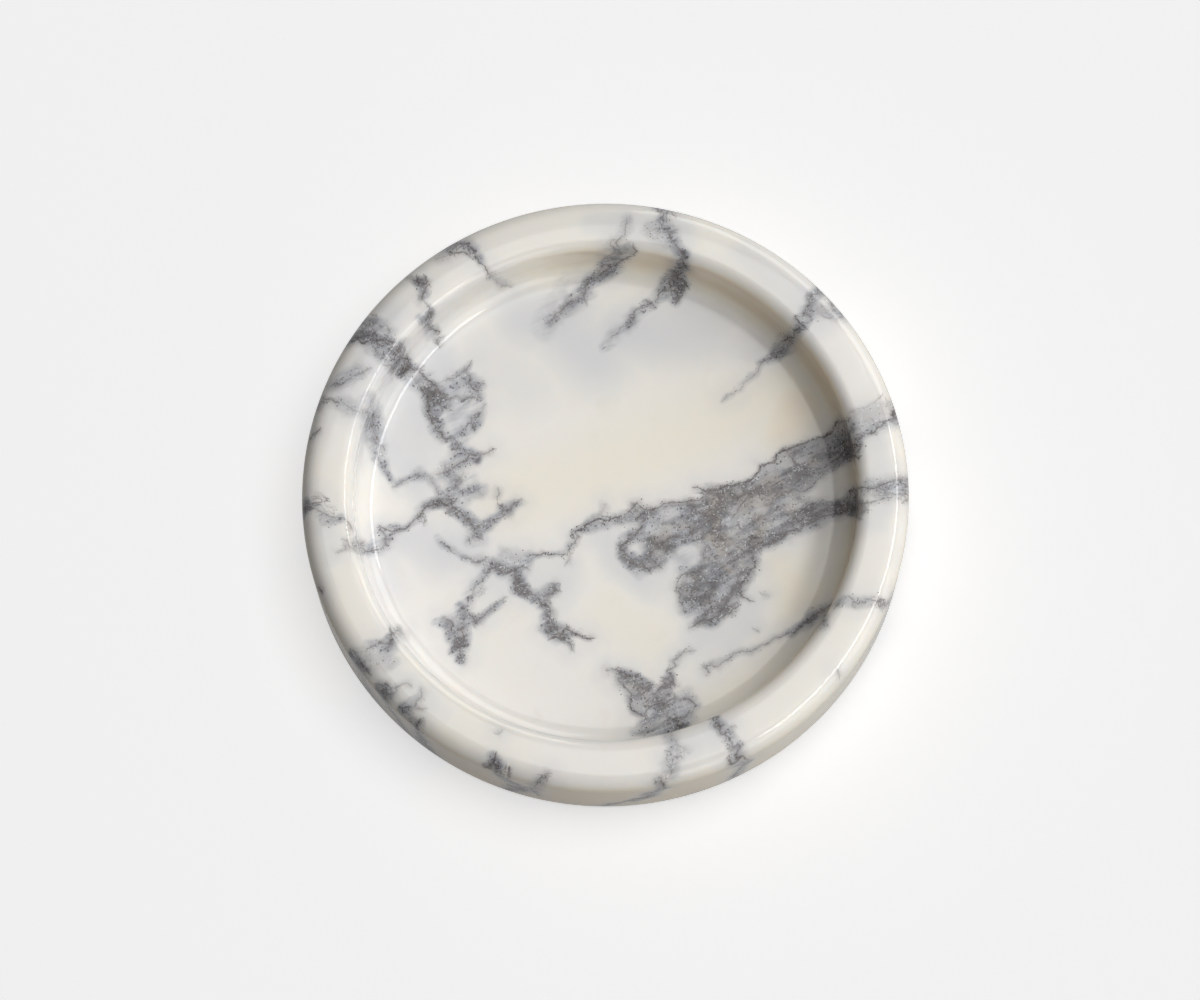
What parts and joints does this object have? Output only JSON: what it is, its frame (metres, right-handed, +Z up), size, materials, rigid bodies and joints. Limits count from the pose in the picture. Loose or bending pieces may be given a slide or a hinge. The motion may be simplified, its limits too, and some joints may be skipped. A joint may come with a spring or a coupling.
{
  "type": "marble dish",
  "caption": "Shallow round catch-all dish turned from one block of veined marble, with a thick upright wall, a flat rim and a flat floor, on small clear rubber pads.",
  "frame": {"origin": "on the table, under the middle of the dish, in the plane of the pads' tips", "axes": "+Z up along the axis the dish was turned on; -Y towards the front, the side nearest the picture's camera; +X to the right"},
  "size_m": [0.15, 0.15, 0.0283],
  "materials": {
    "marble": "polished",
    "clear_rubber": "satin"
  },
  "bodies": {
    "root": {"dish_body": "marble", "foot_pad_front_left": "clear_rubber", "foot_pad_front_right": "clear_rubber", "foot_pad_rear_left": "clear_rubber", "foot_pad_rear_right": "clear_rubber"}
  },
  "joints": []
}
